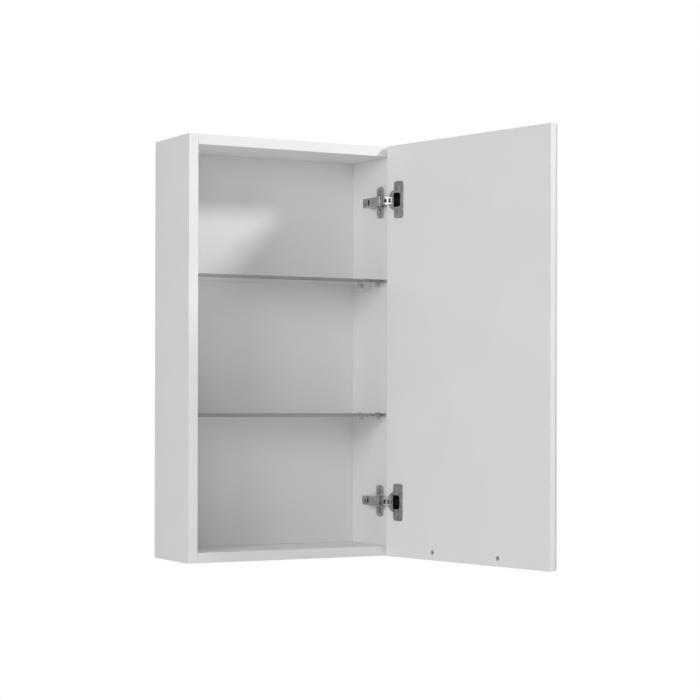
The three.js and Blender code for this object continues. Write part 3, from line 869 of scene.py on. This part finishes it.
headsOut = {
    "cup_screw": doorOut,
    "handle_screw": doorOut,
    "plate_screw": Vector((-1, 0, 0)),
    "clamp_screw": Vector((-1, 0, 0)),
    "hanger_screw": Vector((0, 1, 0)),
}
for kind, settings in screwSettings.items():
    pattern = modelScrew(kind.replace("_", "-") + "-pattern", settings, screwLooks)
    nodes = [node for node in screwNodes if node.startswith(kind)]
    for number, node in enumerate(sorted(nodes)):
        screw = pattern.copy()
        screw.data = pattern.data.copy()
        screw.name = node.replace("_", "-")
        bpy.context.scene.collection.objects.link(screw)
        spin = screwLooks["firstTurn"] + screwLooks["turnStep"] * number
        screw.data.transform(screwPlace(node, headsOut[kind], spin))
        settle(screw, node, finishes[slotOf[node]])
    bpy.data.objects.remove(pattern, do_unlink=True)
print("screws modelled")


# ---- handle

handleSettings = {
    "posts": (-80 * mm, 80 * mm),
    "height": 5 * mm,  # of its middle line, in the frame
    "radius": 4.88 * mm,
    "corner": 12 * mm,
    "foot": -160.35 * mm,
    "reach": -183 * mm,  # middle line of the bar
    "sides": 32,
    "bendSteps": 12,
    "footRim": 0.5 * mm,
    "drill": {"radius": 2.3 * mm, "depth": 17 * mm, "sides": 20},
}


# A round bar drawn from one foot out, along and back, on the shut door.
def modelHandle(settings):
    left, right = settings["posts"]
    height, corner = settings["height"], settings["corner"]
    foot, rim, radius = settings["foot"], settings["footRim"], settings["radius"]
    bendStart = settings["reach"] + corner
    swell = radius / (radius - rim)
    selectOnly()
    bpy.ops.mesh.primitive_circle_add(
        vertices=settings["sides"],
        radius=radius - rim,
        fill_type="NGON",
        location=(left, foot, height),
        rotation=(math.radians(90), 0, 0),
    )
    bar = bpy.context.object
    bar.name = "handle-bar"
    bpy.ops.object.transform_apply(location=True, rotation=True)

    def resizeFoot(post, scale):
        centre = (post, foot, height)
        bpy.ops.transform.resize(value=(scale, 1, scale), center_override=centre)

    def bend(across):
        bpy.ops.mesh.spin(
            steps=settings["bendSteps"],
            angle=math.radians(-90),
            center=(across, bendStart, height),
            axis=(0, 0, 1),
        )

    bpy.ops.object.mode_set(mode="EDIT")
    bpy.ops.mesh.select_all(action="SELECT")
    extrudeBy(0, -rim, 0)
    resizeFoot(left, swell)
    extrudeBy(0, bendStart - foot + rim, 0)
    bend(left + corner)
    extrudeBy(right - left - 2 * corner, 0, 0)
    bend(right - corner)
    extrudeBy(0, foot - rim - bendStart, 0)
    extrudeBy(0, rim, 0)
    resizeFoot(right, 1 / swell)
    bpy.ops.mesh.select_all(action="SELECT")
    bpy.ops.mesh.remove_doubles(threshold=0.01 * mm)
    bpy.ops.mesh.select_mode(type="FACE")
    bpy.ops.mesh.select_all(action="DESELECT")
    bpy.ops.mesh.select_interior_faces()
    bpy.ops.mesh.delete(type="FACE")
    bpy.ops.mesh.select_all(action="SELECT")
    bpy.ops.mesh.normals_make_consistent(inside=False)
    bpy.ops.object.mode_set(mode="OBJECT")
    for post in settings["posts"]:
        selectOnly()
        bpy.ops.mesh.primitive_cylinder_add(
            vertices=settings["drill"]["sides"],
            radius=settings["drill"]["radius"],
            depth=settings["drill"]["depth"],
            location=(post, foot, height),
            rotation=(math.radians(90), 0, 0),
        )
        drill = bpy.context.object
        bpy.ops.object.transform_apply(location=True, rotation=True)
        cutWith(bar, drill)
    selectOnly(bar)
    bpy.ops.object.shade_smooth_by_angle(angle=roundSmoothAngle)
    bar.data.transform(doorPlace)
    return bar


settle(modelHandle(handleSettings), "handle", finishes["chrome"])
print("handle modelled")


# ---- surroundings

floorSettings = {
    "drop": 0.9,
    "radius": 3.0,
    "sides": 96,
    "colour": (0.97, 0.97, 0.965),
    "shade": 0.98,
    "grain": 40,
}


def addFloor(settings):
    selectOnly()
    centre = (0, -0.2, carcassLow.z - settings["drop"])
    bpy.ops.mesh.primitive_circle_add(
        vertices=settings["sides"], radius=settings["radius"], fill_type="NGON", location=centre
    )
    floor = bpy.context.object
    floor.name = "floor"
    finish = Finish("pale floor", {"Specular IOR Level": 0.2, "Roughness": 0.7})
    grain = finish.noise(settings["grain"], 3)
    shade = tuple(value * settings["shade"] for value in settings["colour"])
    finish.feed(Base_Color=finish.blend(grain, shade, settings["colour"]))
    floor.data.materials.append(finish.material)


# white behind everything, a softer white as light and another for what gloss reflects
def makeWorld(ambient, gleam):
    world = bpy.data.worlds.new("studio")
    bpy.context.scene.world = world
    world.use_nodes = True
    tree = world.node_tree
    output = tree.nodes["World Output"]
    light = tree.nodes["Background"]
    light.inputs["Color"].default_value = (1, 1, 1, 1)
    light.inputs["Strength"].default_value = ambient
    seen = tree.nodes.new("ShaderNodeBackground")
    seen.inputs["Color"].default_value = (1, 1, 1, 1)
    path = tree.nodes.new("ShaderNodeLightPath")
    reflected = tree.nodes.new("ShaderNodeBackground")
    reflected.inputs["Color"].default_value = (1, 1, 1, 1)
    reflected.inputs["Strength"].default_value = gleam
    lit = tree.nodes.new("ShaderNodeMixShader")
    tree.links.new(path.outputs["Is Glossy Ray"], lit.inputs["Fac"])
    tree.links.new(light.outputs[0], lit.inputs[1])
    tree.links.new(reflected.outputs[0], lit.inputs[2])
    choice = tree.nodes.new("ShaderNodeMixShader")
    tree.links.new(path.outputs["Is Camera Ray"], choice.inputs["Fac"])
    tree.links.new(lit.outputs[0], choice.inputs[1])
    tree.links.new(seen.outputs[0], choice.inputs[2])
    tree.links.new(choice.outputs[0], output.inputs["Surface"])


addFloor(floorSettings)
makeWorld(lightSettings["ambient"], lightSettings["gleam"])
print("surroundings placed")
